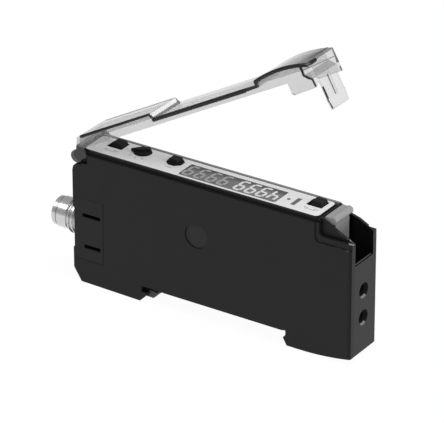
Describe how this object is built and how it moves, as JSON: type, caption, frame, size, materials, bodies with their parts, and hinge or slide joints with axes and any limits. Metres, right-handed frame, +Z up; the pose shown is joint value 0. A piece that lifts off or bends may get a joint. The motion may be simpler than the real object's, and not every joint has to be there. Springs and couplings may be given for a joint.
{
  "type": "fibre optic sensor amplifier",
  "caption": "Slim rail-mounted fibre optic sensor amplifier with hinged clear dust cover, top display, knobs, fibre clamp lever, fibre ports and a round threaded connector.",
  "frame": {"origin": "centre of the rail seat, on the face that lies on the rail", "axes": "+X along the body to the fibre end, +Y to the back side, +Z up from the rail to the deck"},
  "size_m": [0.0777, 0.01, 0.0667],
  "materials": {
    "case_black": "fine satin moulding",
    "plate_silver": "satin silver print",
    "window_smoke": "smoked gloss",
    "digit_block": "satin",
    "board_green": "solder mask",
    "chip_black": "matte",
    "can_metal": "satin",
    "header_black": "matte",
    "terminal_green": "matte",
    "wire_skin": "satin",
    "nickel": "bright nickel plate",
    "insert_black": "matte",
    "pin_gold": "bright",
    "seal_rubber": "matte",
    "lamp_green": "clear",
    "lamp_amber": "clear",
    "switch_black": "matte",
    "guide_black": "matte",
    "emitter_red": "clear",
    "receiver_dark": "clear",
    "steel": "ground",
    "spring_steel": "bright",
    "cover_clear": "clear polished",
    "lever_grey": "satin",
    "shoe_grey": "matte",
    "clip_black": "satin",
    "knob_black": "satin"
  },
  "bodies": {
    "housing": {"housing_case": "case_black", "side_panel": "case_black", "connector_end_cap": "case_black", "top_plate": "plate_silver", "display_window": "window_smoke", "display_left": "digit_block", "display_right": "digit_block", "display_board": "board_green", "main_board": "board_green", "optics_board": "board_green", "processor_chip": "chip_black", "capacitor": "can_metal", "board_header": "header_black", "terminal_block": "terminal_green", "lead_wires": "wire_skin", "connector_shell": "nickel", "connector_insert": "insert_black", "connector_pins": "pin_gold", "connector_nut": "nickel", "connector_seal": "seal_rubber", "power_lamp": "lamp_green", "output_lamp": "lamp_amber", "output_switch": "switch_black", "selector_switch": "switch_black", "set_switch": "switch_black", "mode_switch": "switch_black", "optics_block": "guide_black", "emitter": "emitter_red", "receiver": "receiver_dark", "lever_pin": "steel", "clip_spring": "spring_steel"},
    "dust_cover": {"dust_cover": "cover_clear"},
    "clamp_lever": {"clamp_lever": "lever_grey"},
    "clamp_shoe": {"clamp_shoe": "shoe_grey"},
    "rail_clip": {"rail_clip": "clip_black"},
    "output_knob": {"output_knob": "knob_black"},
    "selector_knob": {"selector_knob": "knob_black"},
    "set_button": {"set_button": "knob_black"},
    "mode_knob": {"mode_knob": "knob_black"}
  },
  "joints": [
    {"name": "cover_hinge", "type": "hinge", "parent": "housing", "child": "dust_cover", "pos_m": [-0.03575, 0, 0.0267], "axis": [0, -1, 0], "range_deg": [-29, 60]},
    {"name": "lever_turn", "type": "hinge", "parent": "housing", "child": "clamp_lever", "pos_m": [0.027, 0, 0.0185], "axis": [0, 1, 0], "range_deg": [0, 55]},
    {"name": "shoe_lift", "type": "slide", "parent": "housing", "child": "clamp_shoe", "axis": [0, 0, 1], "range_m": [0, 0.00033]},
    {"name": "clip_slide", "type": "slide", "parent": "housing", "child": "rail_clip", "axis": [-1, 0, 0], "range_m": [0, 0.0016], "stiffness_N_per_m": 1000, "deforming": ["clip_spring"]},
    {"name": "output_slide", "type": "slide", "parent": "housing", "child": "output_knob", "axis": [1, 0, 0], "range_m": [-0.0008, 0]},
    {"name": "selector_turn", "type": "hinge", "parent": "housing", "child": "selector_knob", "pos_m": [-0.02261, 0.0011, 0.0287], "axis": [0, 0, 1], "range_deg": [-45, 45]},
    {"name": "set_push", "type": "slide", "parent": "housing", "child": "set_button", "axis": [0, 0, -1], "range_m": [0, 0.0004], "stiffness_N_per_m": 500},
    {"name": "mode_slide", "type": "slide", "parent": "housing", "child": "mode_knob", "axis": [1, 0, 0], "range_m": [-0.0008, 0]}
  ],
  "couplings": [
    {"joint": "lever_turn", "follows": "shoe_lift", "rad_per_m": 2908.9}
  ]
}
